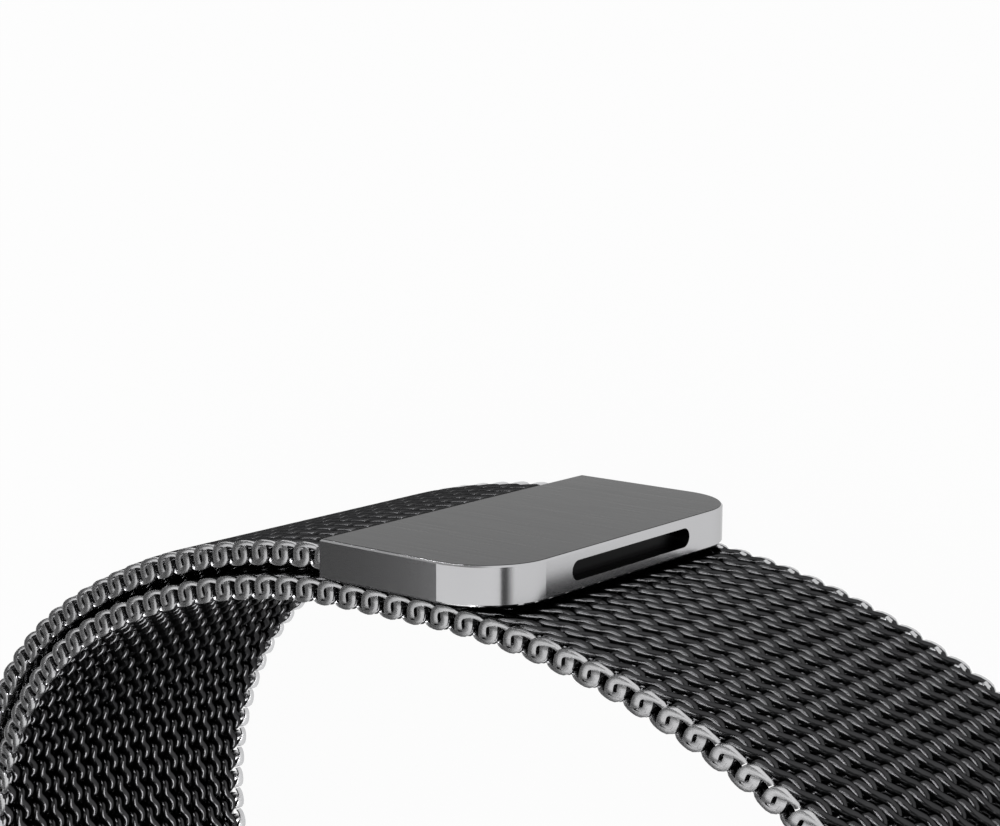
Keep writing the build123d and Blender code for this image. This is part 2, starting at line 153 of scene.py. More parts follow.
class Graph:
    """The nodes of one material or world."""

    # A Mix node's sockets for colours, by number
    MIX_SHARE, MIX_FIRST, MIX_SECOND, MIX_RESULT = 0, 6, 7, 2

    def __init__(self, tree: bpy.types.NodeTree) -> None:
        """Starts from an empty tree."""
        self.tree = tree
        tree.nodes.clear()

    def node(
        self,
        kind: str,
        settings: dict[str, object] | None = None,
        inputs: dict[object, object] | None = None,
        output: int | str = 0,
    ) -> Wire:
        """Adds a node: first its settings, and then the values or links of its sockets.

        Args:
            kind: the node's type.
            settings: its settings, such as a Math node's operation.
            inputs: socket names or numbers, with a value or a wire for each.
            output: the output to hand back.

        Returns:
            That output as a wire.
        """
        node = self.tree.nodes.new(kind)
        for name, value in (settings or {}).items():
            setattr(node, name, value)
        for name, value in (inputs or {}).items():
            if isinstance(value, Wire):
                self.tree.links.new(value.socket, node.inputs[name])
            else:
                node.inputs[name].default_value = value
        return Wire(self, node.outputs[output] if len(node.outputs) else None)

    def place(self, scale: tuple[float, float, float]) -> Wire:
        """The piece's own coordinates in millimetres, with a scale along each axis."""
        source = self.node("ShaderNodeTexCoord", output="Object")
        factors = tuple(value / MILLIMETRE for value in scale)
        return self.node(
            "ShaderNodeMapping",
            {"vector_type": "POINT"},
            {"Vector": source, "Scale": factors},
        )

    def along(self, axis: str) -> Wire:
        """One of the piece's own coordinates, in millimetres."""
        return self.node(
            "ShaderNodeSeparateXYZ", inputs={0: self.place((1, 1, 1))}, output=axis
        )

    def noise(self, pattern: Pattern) -> Wire:
        """A pattern's value, between nought and one."""
        inputs = {
            "Vector": self.place(pattern.scale),
            "Scale": 1,
            "Detail": pattern.detail,
        }
        return self.node("ShaderNodeTexNoise", inputs=inputs)

    def mix(self, share: Wire, first: object, second: object) -> Wire:
        """A colour that goes from the first to the second with a share."""
        inputs = {
            self.MIX_SHARE: share,
            self.MIX_FIRST: first,
            self.MIX_SECOND: second,
        }
        settings = {"data_type": "RGBA"}
        return self.node("ShaderNodeMix", settings, inputs, self.MIX_RESULT)

    def bump(self, height: Wire, depth: float) -> Wire:
        """A normal for a height.

        Args:
            height: the height, between nought and one.
            depth: what one stands for, in millimetres.

        Returns:
            The bent normal.
        """
        inputs = {"Height": height, "Distance": depth * MILLIMETRE, "Strength": 1}
        return self.node("ShaderNodeBump", inputs=inputs)


Colour = tuple[float, float, float]


def rgba(colour: Colour) -> tuple[float, float, float, float]:
    """A colour with its fourth channel."""
    return (*colour, 1)


@dataclass(frozen=True)
class Finish:
    """A surface as a maker would order it.

    Its tone lies between a dark and a light share of its colour. It goes with the
    cloud, or with the grain where a finish has no cloud. Its gloss goes with the grain,
    and so does its relief, in millimetres.
    """

    name: str
    colour: Colour
    roughness: float
    metallic: float = 1
    grazing_share: float = 1
    cloud: Pattern | None = None
    grain: Pattern = Pattern((1, 1, 1))
    dark_share: float = 0.8
    light_share: float = 1
    gloss_change: float = 0.2
    relief: float = 0

    NOISE_MIDDLE = 0.5

    def shade(self, share: float) -> tuple[float, float, float, float]:
        """A share of the finish's colour."""
        return rgba(tuple(share * part for part in self.colour))

    def tone(self, graph: Graph, grain: Wire) -> Wire:
        """The colour over the surface.

        Args:
            graph: the material's nodes.
            grain: the finish's grain.

        Returns:
            The colour.
        """
        cloud = graph.noise(self.cloud) if self.cloud else grain
        dark, light = self.shade(self.dark_share), self.shade(self.light_share)
        return graph.mix(cloud, dark, light)

    def gloss(self, grain: Wire) -> Wire:
        """The roughness over the surface, from the grain."""
        return self.roughness + (grain - self.NOISE_MIDDLE) * self.gloss_change

    def surface(self, graph: Graph) -> dict[str, Wire]:
        """What changes over the surface, by the shader's socket."""
        grain = graph.noise(self.grain)
        found = {"Base Color": self.tone(graph, grain), "Roughness": self.gloss(grain)}
        if self.relief:
            found["Normal"] = graph.bump(grain, self.relief)
        return found

    @functools.cache
    def material(self) -> bpy.types.Material:
        """The finish's material, made once."""
        made = bpy.data.materials.new(self.name)
        made.use_nodes = True
        graph = Graph(made.node_tree)
        inputs = {
            "Metallic": self.metallic,
            "Specular Tint": rgba((self.grazing_share,) * 3),
            **self.surface(graph),
        }
        shader = graph.node("ShaderNodeBsdfPrincipled", inputs=inputs)
        graph.node("ShaderNodeOutputMaterial", inputs={"Surface": shader})
        return made


@dataclass(frozen=True)
class CoatedWire(Finish):
    """Drawn wire with a dark coating: small changes of its tone and its gloss."""

    cloud: Pattern = Pattern((0.9, 0.9, 0.9))
    grain: Pattern = Pattern((14, 14, 14), 3)
    dark_share: float = 0.7
    light_share: float = 1.25
    gloss_change: float = 0.1


@dataclass(frozen=True)
class GroundEdge(Finish):
    """Wire ground flat: bare metal with fine scratches across the edge."""

    cloud: Pattern = Pattern((0.5, 0.5, 0.5))
    grain: Pattern = Pattern((3, 16, 3), 3)
    gloss_change: float = 0.12
    relief: float = 0.003


@dataclass(frozen=True)
class ClaspSteel(Finish):
    """The clasp: brushed along the band outside, polished sides, blasted magnet side.

    The three are told apart by how deep in the clasp a point lies. The nail slot in the
    tip is coloured near black and made rougher: painted shade in its recess. The places
    of the faces, the tip and the slot are in millimetres in the frame.
    """

    outer_face: float = 0
    magnet_face: float = 0
    face_band: float = 0.03
    tip: float = 0
    slot_middle: float = 0
    slot_half_length: float = 5.55
    slot_half_height: float = 0.58
    slot_depth: float = 1.0
    # Painted shade: the near-black colour of the nail slot's recess
    slot_painted_shade: Colour = (0.018, 0.018, 0.0185)
    slot_roughness_added: float = 0.2
    side_colour: Colour = (0.53, 0.53, 0.54)
    side_roughness: float = 0.12
    side_gloss_change: float = 0.05
    blasted_share: float = 0.4
    blasted_roughness: float = 0.5
    streaks: Pattern = Pattern((0.3, 1, 7), 3)
    lines: Pattern = Pattern((0.12, 1, 18), 2)
    streak_share: float = 0.6
    grain: Pattern = Pattern((9, 9, 9), 3)
    dark_share: float = 0.45
    light_share: float = 1.55
    relief: float = 0.012
    brushed_relief_share: float = 0.5

    def slot(self, graph: Graph, depth: Wire) -> Wire:
        """One in the nail slot, where its painted shade goes, and nought elsewhere.

        Args:
            graph: the material's nodes.
            depth: the place through the clasp's thickness.

        Returns:
            The mask.
        """
        inward = graph.along("X") - self.tip
        aside = (graph.along("Z") - self.slot_middle).math("ABSOLUTE")
        middle = (self.outer_face + self.magnet_face) / 2
        above = (depth - middle).math("ABSOLUTE")
        opening = (aside < self.slot_half_length) * (above < self.slot_half_height)
        return (inward > self.face_band) * (inward < self.slot_depth) * opening

    def surface(self, graph: Graph) -> dict[str, Wire]:
        """The three finishes and the slot's painted shade, by the shader's socket."""
        depth = graph.along("Y")
        brushed = depth < (self.outer_face + self.face_band)
        blasted = depth > (self.magnet_face - self.face_band)
        polished = 1 - brushed - blasted
        slot = self.slot(graph, depth)
        streak, line = graph.noise(self.streaks), graph.noise(self.lines)
        grain = graph.noise(self.grain)
        brush = streak * self.streak_share + line * (1 - self.streak_share)
        brush = brush.clamped()
        dark, light = self.shade(self.dark_share), self.shade(self.light_share)
        top = graph.mix(brush, dark, light)
        # The nail slot's recess gets its painted shade here, over the polished side
        # colour
        side = graph.mix(slot, rgba(self.side_colour), rgba(self.slot_painted_shade))
        outside = graph.mix(brushed, side, top)
        height = brushed * brush * self.brushed_relief_share + blasted * grain
        return {
            "Base Color": graph.mix(blasted, outside, self.shade(self.blasted_share)),
            "Roughness": brushed * self.gloss(brush)
            + blasted * self.blasted_roughness
            + polished * (self.side_roughness + grain * self.side_gloss_change)
            + slot * self.slot_roughness_added,
            "Normal": graph.bump(height, self.relief),
        }


@dataclass(frozen=True)
class SatinSteel(Finish):
    """Bare steel with a fine even satin grain."""

    grain: Pattern = Pattern((1.2, 20, 20), 3)
    gloss_change: float = 0.16
    relief: float = 0.006


@dataclass(frozen=True)
class TurnedSteel(Finish):
    """Steel turned on a lathe, with the tool's rings along Z."""

    grain: Pattern = Pattern((0.4, 0.4, 22))
    dark_share: float = 0.75
    relief: float = 0.004


@dataclass(frozen=True)
class SoftRubber(Finish):
    """Matte rubber with a fine moulded grain and a little dust."""

    cloud: Pattern = Pattern((0.8, 0.8, 0.8))
    grain: Pattern = Pattern((7, 7, 7), 4)
    relief: float = 0.02
    dust_colour: Colour = (0.12, 0.12, 0.12)
    dust_start: float = 0.55
    dust_share: float = 0.8

    def tone(self, graph: Graph, grain: Wire) -> Wire:
        """The rubber's colour, with dust where the cloud is thick."""
        dust = (graph.noise(self.cloud) - self.dust_start).clamped() * self.dust_share
        return graph.mix(dust, rgba(self.colour), rgba(self.dust_colour))


# The band's centre line


@dataclass(frozen=True)
class Stretch:
    """A straight or round stretch, its length in millimetres, its turn in radians."""

    length: float
    turn: float = 0


def arc(radius: float, degrees: float) -> Stretch:
    """An arc to the left, of a radius in millimetres."""
    turn = math.radians(degrees)
    return Stretch(radius * turn, turn)


class CentreLine:
    """The line in the mesh's middle, seen from above, from its first point on."""

    def __init__(
        self, start: tuple[float, float], heading: float, runs: list[Stretch]
    ) -> None:
        """Lays the stretches one after another.

        Args:
            start: the first point, in millimetres.
            heading: the first heading, in radians.
            runs: the stretches, in order.
        """
        lengths = np.array([run.length for run in runs])
        turns = np.array([run.turn for run in runs])
        self.ends = np.cumsum(lengths)
        self.starts = self.ends - lengths
        self.bends = turns / lengths
        self.headings = heading + np.cumsum(turns) - turns
        self.corners = np.zeros((len(runs), 2))
        self.corners[0] = start
        steps = self._step(self.headings, self.bends, lengths)
        self.corners[1:] = start + np.cumsum(steps[:-1], axis=0)
        self.length = float(self.ends[-1])

    @staticmethod
    def _step(heading: np.ndarray, bend: np.ndarray, along: np.ndarray) -> np.ndarray:
        """The way from a stretch's start to a distance along it.

        A straight one goes along its heading. A round one of curvature k goes by
        (sin(h + ks) - sin h) / k and (cos h - cos(h + ks)) / k.
        """
        flat = np.abs(bend) < TINY
        curvature = np.where(flat, 1, bend)
        turned = heading + bend * along
        round_x = (np.sin(turned) - np.sin(heading)) / curvature
        round_y = (np.cos(heading) - np.cos(turned)) / curvature
        x = np.where(flat, along * np.cos(heading), round_x)
        y = np.where(flat, along * np.sin(heading), round_y)
        return np.stack([x, y], axis=-1)

    def at(self, distance: np.ndarray) -> tuple[np.ndarray, np.ndarray]:
        """The points and headings at distances along the line."""
        distance = np.asarray(distance, float)
        index = np.searchsorted(self.ends[:-1], distance, side="right")
        along = distance - self.starts[index]
        step = self._step(self.headings[index], self.bends[index], along)
        heading = self.headings[index] + self.bends[index] * along
        return self.corners[index] + step, heading

    def solid_points(
        self, distance: np.ndarray, left: np.ndarray, height: np.ndarray
    ) -> np.ndarray:
        """Points given along the line, to its left and above, in metres in the frame.

        Each is the line's point at its distance, plus the left normal times how far
        left it lies, at its own height.
        """
        point, heading = self.at(distance)
        x = point[..., 0] - left * np.sin(heading)
        y = point[..., 1] + left * np.cos(heading)
        return np.stack([x, y, height], axis=-1) * MILLIMETRE

    def nearest(self, x: float, y: float, samples: int = 40000) -> float:
        """The distance along the line of its point nearest to one given."""
        distance = np.linspace(0, self.length, samples)
        point, _ = self.at(distance)
        return float(distance[np.argmin(np.hypot(*(point - (x, y)).T))])


@dataclass(frozen=True)
class BandShape:
    """The closed band's sizes, in millimetres and degrees, as its maker drew them."""

    mesh_thickness: float = 1.45
    clasp_thickness: float = 2.2
    gasket_rise: float = 0.15
    seat_gap: float = 0.1
    seat_flat: float = 5.4
    seat_flat_start: float = 1.3
    mesh_socket_depth: float = 1.9
    mesh_depth_in_clasp: float = 1.2
    plain_crown: tuple[float, float] = (45.6, 29.0)
    plain_flank: tuple[float, float] = (16.7, 111.0)
    plain_lug_length: float = 9.5
    ring_crown: tuple[float, float] = (44.0, 28.0)
    ring_flank: tuple[float, float] = (21.0, 67.0)
    ring_lug: tuple[float, float] = (13.7, 45.0)
    tail_crown_turn: float = 32.0
    slot_bar_radius: float = 1.0
    fold_gap: float = 0.1

    def line(self) -> CentreLine:
        """The mesh's centre line, from its plain end round to the clasp.

        The clasp's outer face and its mesh end lie where the frame has them.
        """
        low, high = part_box("clasp_body")
        entry, outer = high.x / MILLIMETRE, low.y / MILLIMETRE
        half = self.mesh_thickness / 2
        seat = outer + self.clasp_thickness + self.gasket_rise + self.seat_gap + half
        seat_start = np.array([entry - self.seat_flat_start - self.seat_flat, seat])

        plain = [
            arc(*self.plain_crown),
            arc(*self.plain_flank),
            Stretch(self.plain_lug_length),
        ]
        away = [Stretch(run.length, -run.turn) for run in plain]
        outward = CentreLine(tuple(seat_start), math.pi, away)
        start, heading = outward.at(outward.length)
        ring = [
            Stretch(self.seat_flat),
            arc(*self.ring_crown),
            arc(*self.ring_flank),
            arc(*self.ring_lug),
        ]
        lower = CentreLine(tuple(seat_start), 0, ring)
        tail_start = (entry - self.mesh_socket_depth, outer + self.mesh_depth_in_clasp)
        tail = self.tail(tail_start, *lower.at(lower.length))
        return CentreLine(
            tuple(start), float(heading) + math.pi, [*plain[::-1], *ring, *tail]
        )

    def tail(
        self, start: tuple[float, float], turning: np.ndarray, heading: float
    ) -> list[Stretch]:
        """The fold round the slot bar, and the tail from there back to the clasp.

        The tail's flank is an arc that touches both its crown arc and the fold. So its
        centre lies its radius from the crown arc's end, square to it, and its radius
        less the fold's from the slot bar.

        Args:
            start: the tail's end in the clasp, in millimetres.
            turning: where the fold starts.
            heading: the line's heading there.

        Returns:
            The stretches, from the fold on.
        """
        fold_radius = self.slot_bar_radius + self.fold_gap + self.mesh_thickness / 2
        slot = turning + fold_radius * np.array([np.sin(heading), -np.cos(heading)])
        straight = Stretch(self.mesh_socket_depth - self.seat_flat_start)
        crown = arc(self.ring_crown[0], self.tail_crown_turn)
        back = CentreLine(start, 0, [straight, crown])
        joined, joined_heading = back.at(back.length)
        inward = np.array([-np.sin(joined_heading), np.cos(joined_heading)])
        gap = joined - slot
        radius = (fold_radius**2 - gap @ gap) / (2 * (inward @ gap + fold_radius))
        centre = joined + radius * inward
        last = math.atan2(*(slot - centre)[::-1]) + math.pi / 2
        flank_turn = (last - joined_heading) % (2 * math.pi)
        fold_turn = (heading - last - math.pi) % (2 * math.pi)
        return [
            Stretch(fold_radius * fold_turn, -fold_turn),
            Stretch(radius * flank_turn, -flank_turn),
            Stretch(crown.length, -crown.turn),
            straight,
        ]


# The woven mesh


class Edge(Enum):
    """The mesh's two ground edges, by the way that each faces."""

    UPPER = 1
    LOWER = -1


# Each hinge's distance along the line, by the two bodies it joins
Hinges = dict[frozenset[str], float]


@dataclass(frozen=True)
class MeshPiece:
    """A length of mesh round one hinge of the frame's table, or on one body."""

    name: str
    bodies: tuple[str, ...]
    replaced: tuple[str, ...]


PIECES = (
    MeshPiece("plain_end", ("plain_end",), ("plain_mesh_end",)),
    MeshPiece("plain_flank", ("plain_middle", "plain_end"), ("plain_mesh_flank",)),
    MeshPiece("plain_crown", ("plain_upper", "plain_middle"), ("plain_mesh_crown",)),
    MeshPiece("seat", ("seat", "plain_upper"), ("mesh_under_clasp",)),
    MeshPiece("ring_crown", ("seat", "ring_upper"), ("ring_mesh_crown",)),
    MeshPiece("ring_flank", ("ring_upper", "ring_lower"), ("ring_mesh_flank",)),
    MeshPiece("fold", ("ring_lower",), ("mesh_fold", "tail_mesh_end")),
    MeshPiece(
        "tail_lower_flank",
        ("ring_lower", "tail_lower_flank"),
        ("tail_mesh_lower_flank",),
    ),
    MeshPiece(
        "tail_upper_flank",
        ("tail_lower_flank", "tail_upper_flank"),
        ("tail_mesh_upper_flank",),
    ),
    MeshPiece("tail_crown", ("tail_upper_flank", "tail_crown"), ("tail_mesh_crown",)),
    MeshPiece(
        "tail_near_clasp", ("tail_crown", "tail_near_clasp"), ("tail_mesh_near_clasp",)
    ),
    MeshPiece("tail_in_clasp", ("tail_near_clasp", "clasp"), ("tail_mesh_in_clasp",)),
)


def tubes(points: np.ndarray) -> tuple[np.ndarray, list[list[int]]]:
    """Joins rows of rings into closed tubes.

    Args:
        points: tubes by rings by sides by coordinates. A ring runs to the left seen
            along its tube.

    Returns:
        The points as one list, and faces: a square between each ring and the next, and
        a cap at either end.
    """
    count, rings, sides, _ = points.shape
    ring = np.arange(rings * sides).reshape(rings, sides)
    after = np.roll(ring, -1, axis=1)
    squares = np.stack([ring[:-1], after[:-1], after[1:], ring[1:]], axis=-1)
    caps = np.stack([ring[0, ::-1], ring[-1]])
    shift = np.arange(count)[:, None, None] * rings * sides
    squares = (squares.reshape(1, -1, 4) + shift).reshape(-1, 4)
    caps = (caps[None] + shift).reshape(-1, sides)
    return points.reshape(-1, 3), squares.tolist() + caps.tolist()


def mesh_object(
    name: str, points: np.ndarray, faces: list[list[int]], crease: float
) -> bpy.types.Object:
    """A new object at the origin.

    Args:
        name: its name.
        points: its points, in metres in the frame.
        faces: its faces.
        crease: the angle in degrees past which an edge stays sharp.

    Returns:
        The object, linked to the scene.
    """
    mesh = bpy.data.meshes.new(name)
    mesh.from_pydata(points, [], faces)
    mesh.shade_smooth()
    mesh.set_sharp_from_angle(angle=math.radians(crease))
    made = bpy.data.objects.new(name, mesh)
    bpy.context.scene.collection.objects.link(made)
    return made


def unit(vector: np.ndarray) -> np.ndarray:
    """Vectors scaled to length one."""
    return vector / np.linalg.norm(vector, axis=-1, keepdims=True)


def round_wire(
    line: np.ndarray, outward: np.ndarray, radius: float, sides: int
) -> np.ndarray:
    """A round wire along a line.

    A ring's points are the line's, plus the wire's radius times the cosine of their
    angle outward and its sine to the side.

    Args:
        line: the line's points.
        outward: a direction square to the line at each point.
        radius: the wire's radius.
        sides: the points of a ring.

    Returns:
        The wire's points, rings by sides by coordinates.
    """
    beside = np.cross(unit(np.gradient(line, axis=0)), outward)
    angle = 2 * np.pi * np.arange(sides)[:, None] / sides
    ring = np.cos(angle) * outward[:, None] + np.sin(angle) * beside[:, None]
    return line[:, None] + radius * ring


@dataclass
class WovenMesh:
    """Wire coils across the band, each screwed into the next, with ground edges.

    Shares are of the pitch, the way from one coil to the next. A row of LOOP is a point
    of a wire's ground end: its place ahead and to the left, and half the wire's width
    there. SECTION gives the wire's section there, from side to side in half widths and
    down in pitches.
    """

    line: CentreLine
    low_edge: float
    high_edge: float
    coil_count: int = 121
    half_length_share: float = 0.73
    half_height_share: float = 0.26
    wire_share: float = 0.18
    squareness: float = 4.5
    turns: float = 15.0
    crossing_share: float = 0.5
    samples_per_turn: int = 24
    wire_sides: int = 8
    loop_dive_share: float = 0.12
    loop_dive_start: float = -1.2
    loop_full_half_width: float = 0.13
    bend_reach: float = 3.2
    fold_shares: tuple[float, float] = (0.22, 0.89)
    wire_crease: float = 60
    edge_crease: float = 28
    wire_finish: Finish = CoatedWire(
        "coated_wire", (0.046, 0.046, 0.0475), 0.21, grazing_share=0.4
    )
    edge_finish: Finish = GroundEdge("ground_edge", (0.63, 0.63, 0.64), 0.26)
    pitch: float = field(init=False)

    LOOP = np.array(
        [
            (-0.175, -0.345, 0.070),
            (-0.19, -0.295, 0.125),
            (-0.205, -0.200, 0.160),
            (-0.22, -0.060, 0.155),
            (-0.215, 0.080, 0.145),
            (-0.165, 0.205, 0.135),
            (-0.055, 0.285, 0.125),
            (0.095, 0.325, 0.110),
            (0.25, 0.345, 0.085),
            (0.42, 0.340, 0.070),
            (0.56, 0.300, 0.070),
            (0.665, 0.235, 0.065),
        ]
    )
    LOOP_START_SINK = (0.10, 0.035, 0.005)
    SECTION = np.array(
        [
            (0.5, 0.003),
            (1, 0.018),
            (0.95, 0.25),
            (0.5, 0.4),
            (-0.5, 0.4),
            (-0.97, 0.25),
            (-1, 0.010),
            (-0.3, 0),
        ]
    )

    def __post_init__(self) -> None:
        """Spaces the coils evenly over the whole line."""
        self.pitch = self.line.length / self.coil_count

    def coil(self, centres: np.ndarray) -> np.ndarray:
        """Coils of round wire, as tubes by rings by sides.

        Half a turn runs over one face from a coil's one side to its other, and the next
        half comes back over the other face. Over a face the wire lies at
        (1 - |d|^n)^(1/n) of the coil's half height, d of its half length from the
        middle. It stays level beside its neighbours' wires and sinks half a turn's
        share between them, by (1 + sin(pi/2 * d/w)) / 2 for |d| < w. A ring starts
        from the outline's own normal there.

        Args:
            centres: the coils' middles along the line, in millimetres.

        Returns:
            The tubes' points, in metres.
        """
        radius = self.wire_share * self.pitch
        rise = (self.high_edge - self.low_edge - 2 * radius) / self.turns
        count = round(self.turns * self.samples_per_turn)
        turn = np.arange(count + 1) / self.samples_per_turn
        face = np.floor(2 * turn + TINY)
        side = 1 - 2 * (face % 2)
        along = -np.cos(2 * np.pi * turn)
        flat = np.maximum(1 - np.abs(along) ** self.squareness, 0)
        left = side * flat ** (1 / self.squareness)
        crossed = np.clip(side * along / self.crossing_share, -1, 1)
        sunk = (face + (1 + np.sin(np.pi / 2 * crossed)) / 2) / 2
        middle = np.stack(
            [
                along * self.half_length_share * self.pitch,
                left * self.half_height_share * self.pitch,
                self.high_edge - radius - rise * sunk,
            ],
            axis=-1,
        )
        ahead = unit(np.gradient(middle, axis=0))
        steep = self.squareness - 1
        outward = np.stack(
            [
                self.half_height_share * np.sign(along) * np.abs(along) ** steep,
                self.half_length_share * np.sign(left) * np.abs(left) ** steep,
                np.zeros_like(turn),
            ],
            axis=-1,
        )
        outward -= np.sum(outward * ahead, axis=-1, keepdims=True) * ahead
        tube = round_wire(middle, unit(outward), radius, self.wire_sides)
        distance = centres[:, None, None] + tube[None, ..., 0]
        shape = distance.shape
        return self.line.solid_points(
            distance,
            np.broadcast_to(tube[..., 1], shape),
            np.broadcast_to(tube[..., 2], shape),
        )

    def loops(self, holes: np.ndarray, edge: Edge) -> np.ndarray:
        """The wires' ground ends at one edge, as tubes by rings by sides.

        Between two coils a wire comes up, turns over and dives beside the next one, and
        its mirror turns the other way. Each is a section carried along a hooked line:
        a flat top with small shoulders, and a round belly. The flat top lies in the
        edge's plane, and its thin end sinks by the square of how far along it is.

        Args:
            holes: the places between coils, along the line in millimetres.
            edge: which edge.

        Returns:
            The tubes' points, in metres.
        """
        middle, half = self.LOOP[:, :2], self.LOOP[:, 2]
        ahead = unit(np.gradient(middle, axis=0))
        left = np.stack([-ahead[:, 1], ahead[:, 0]], axis=-1)
        across, down = self.SECTION.T
        share = np.linspace(self.loop_dive_start, 1, len(half)).clip(0, 1)
        sink = self.loop_dive_share * share**2
        sink[: len(self.LOOP_START_SINK)] = self.LOOP_START_SINK
        full = np.minimum(1, half / self.loop_full_half_width)
        place = middle[:, None] + (half[:, None] * across)[..., None] * left[:, None]
        deep = sink[:, None] + down * full[:, None]
        turned = np.array([1, -1])[:, None, None]
        way = edge.value * turned
        distance = holes[:, None, None, None] + self.pitch * way * place[..., 0]
        shape = distance.shape
        left_of = np.broadcast_to(turned * place[..., 1] * self.pitch, shape)
        top = self.high_edge if edge is Edge.UPPER else self.low_edge
        height = np.broadcast_to(top - edge.value * deep * self.pitch, shape)
        points = self.line.solid_points(distance, left_of, height)
        return points.reshape(-1, *points.shape[2:])

    def build(self, hinges: Hinges) -> list[bpy.types.Object]:
        """Builds and dresses every piece of the mesh, and hangs each one that lies on
        one body.

        Args:
            hinges: where the hinges lie along the line.

        Returns:
            The pieces' objects.
        """
        made = []
        first = 0.0
        for piece, last in zip(PIECES, self.piece_ends(hinges)):
            coils = np.arange(1, self.coil_count) * self.pitch
            holes = coils[:-1] + self.pitch / 2
            coils = coils[(coils >= first) & (coils < last)]
            holes = holes[(holes >= first) & (holes < last)]
            points, faces = tubes(self.coil(coils))
            wires = mesh_object(f"{piece.name}_wires", points, faces, self.wire_crease)
            wires.data.materials.append(self.wire_finish.material())
            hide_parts(*piece.replaced)
            loops = np.concatenate([self.loops(holes, edge) for edge in Edge])
            points, faces = tubes(loops)
            edges = mesh_object(
                f"{piece.name}_ground_edges", points, faces, self.edge_crease
            )
            edges.data.materials.append(self.edge_finish.material())
            for item in (wires, edges):
                self.hang(item, piece, hinges)
                log.info("%s: %d faces", item.name, len(item.data.polygons))
                made.append(item)
            first = last
        return made

    def piece_ends(self, hinges: Hinges) -> list[float]:
        """Where each piece ends along the line.

        A piece that bends ends half way to the next hinge. The first piece, which is
        on one body, takes half of the way to its hinge, and the fold takes its own
        share of the way between the hinges on its two sides.
        """
        places = [hinges.get(frozenset(piece.bodies)) for piece in PIECES]
        ends = []
        for index, place in enumerate(places[:-1]):
            following = places[index + 1]
            if place is None and not index:
                ends.append(following / 2)
            elif place is None:
                before = places[index - 1]
                ends.append(before + (following - before) * self.fold_shares[1])
            elif following is None:
                ends.append(place + (places[index + 2] - place) * self.fold_shares[0])
            else:
                ends.append((place + following) / 2)
        return ends + [self.line.length]

    def hang(self, item: bpy.types.Object, piece: MeshPiece, hinges: Hinges) -> None:
        """Makes an object ride on its body; one between two bodies is only baked in
        place, and doesn't bend.
        """
        if len(piece.bodies) == 1:
            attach(item, piece.bodies[0])
            return
        place = hinges[frozenset(piece.bodies)]
        point, heading = self.line.at(place)
        step = self.bend_reach * np.array([np.cos(heading), np.sin(heading)])
        middle = (self.low_edge + self.high_edge) / 2
        ends = [
            Vector((*(point + way * step), middle)) * MILLIMETRE for way in (-1, 1)
        ]
        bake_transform(item)


# The hard parts


@dataclass(frozen=True)
class Clasp:
    """The magnetic clasp, which the frame gives whole and which is dressed here."""

    brushed: Colour = (0.052, 0.0525, 0.0535)
    rubber: Finish = SoftRubber(
        "moulded_rubber", (0.016, 0.016, 0.017), 0.62, metallic=0
    )
    cover: Finish = SatinSteel("satin_cover", (0.62, 0.62, 0.61), 0.34)
    plate: Finish = SatinSteel("back_plate_iron", (0.42, 0.42, 0.42), 0.5)
    nickel: Finish = SatinSteel("nickel_plating", (0.6, 0.58, 0.53), 0.25)

    def finishes(self) -> dict[str, Finish]:
        """Each node's finish."""
        low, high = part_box("clasp_body")
        body = ClaspSteel(
            "brushed_clasp_steel",
            self.brushed,
            roughness=0.3,
            grazing_share=0.75,
            outer_face=low.y / MILLIMETRE,
            magnet_face=high.y / MILLIMETRE,
            tip=low.x / MILLIMETRE,
            slot_middle=(low.z + high.z) / 2 / MILLIMETRE,
        )
        return {
            "clasp_body": body,
            "magnet_gasket": self.rubber,
            "magnet_cover": self.cover,
            "magnet_back_plate": self.plate,
            "clasp_magnets": self.nickel,
        }


@dataclass(frozen=True)
class EndPieces:
    """The slot ring, the bar at the plain end, and their spring bars."""

    steel: Finish = SatinSteel("satin_end_steel", (0.2, 0.205, 0.215), 0.3)
    turned: Finish = TurnedSteel("turned_bar", (0.5, 0.5, 0.5), 0.26)
    spring: Finish = TurnedSteel("drawn_spring_wire", (0.42, 0.42, 0.42), 0.3)

    def finishes(self) -> dict[str, Finish]:
        """Each node's finish."""
        found = {
            "slot_ring": self.steel,
            "plain_end_bar": self.steel,
            "plain_end_pins": self.turned,
        }
        for end in ("plain", "ring"):
            for part in ("tube", "fixed_tip", "sliding_tip", "release_pin"):
                found[f"{end}_bar_{part}"] = self.turned
        return found

    def springs(self) -> None:
        """Builds the two bars' springs."""
        CoilSpring("plain_bar", "plain_end", "plain_tip_slide", self.spring).build()
        CoilSpring("ring_bar", "ring", "ring_tip_slide", self.spring).build()


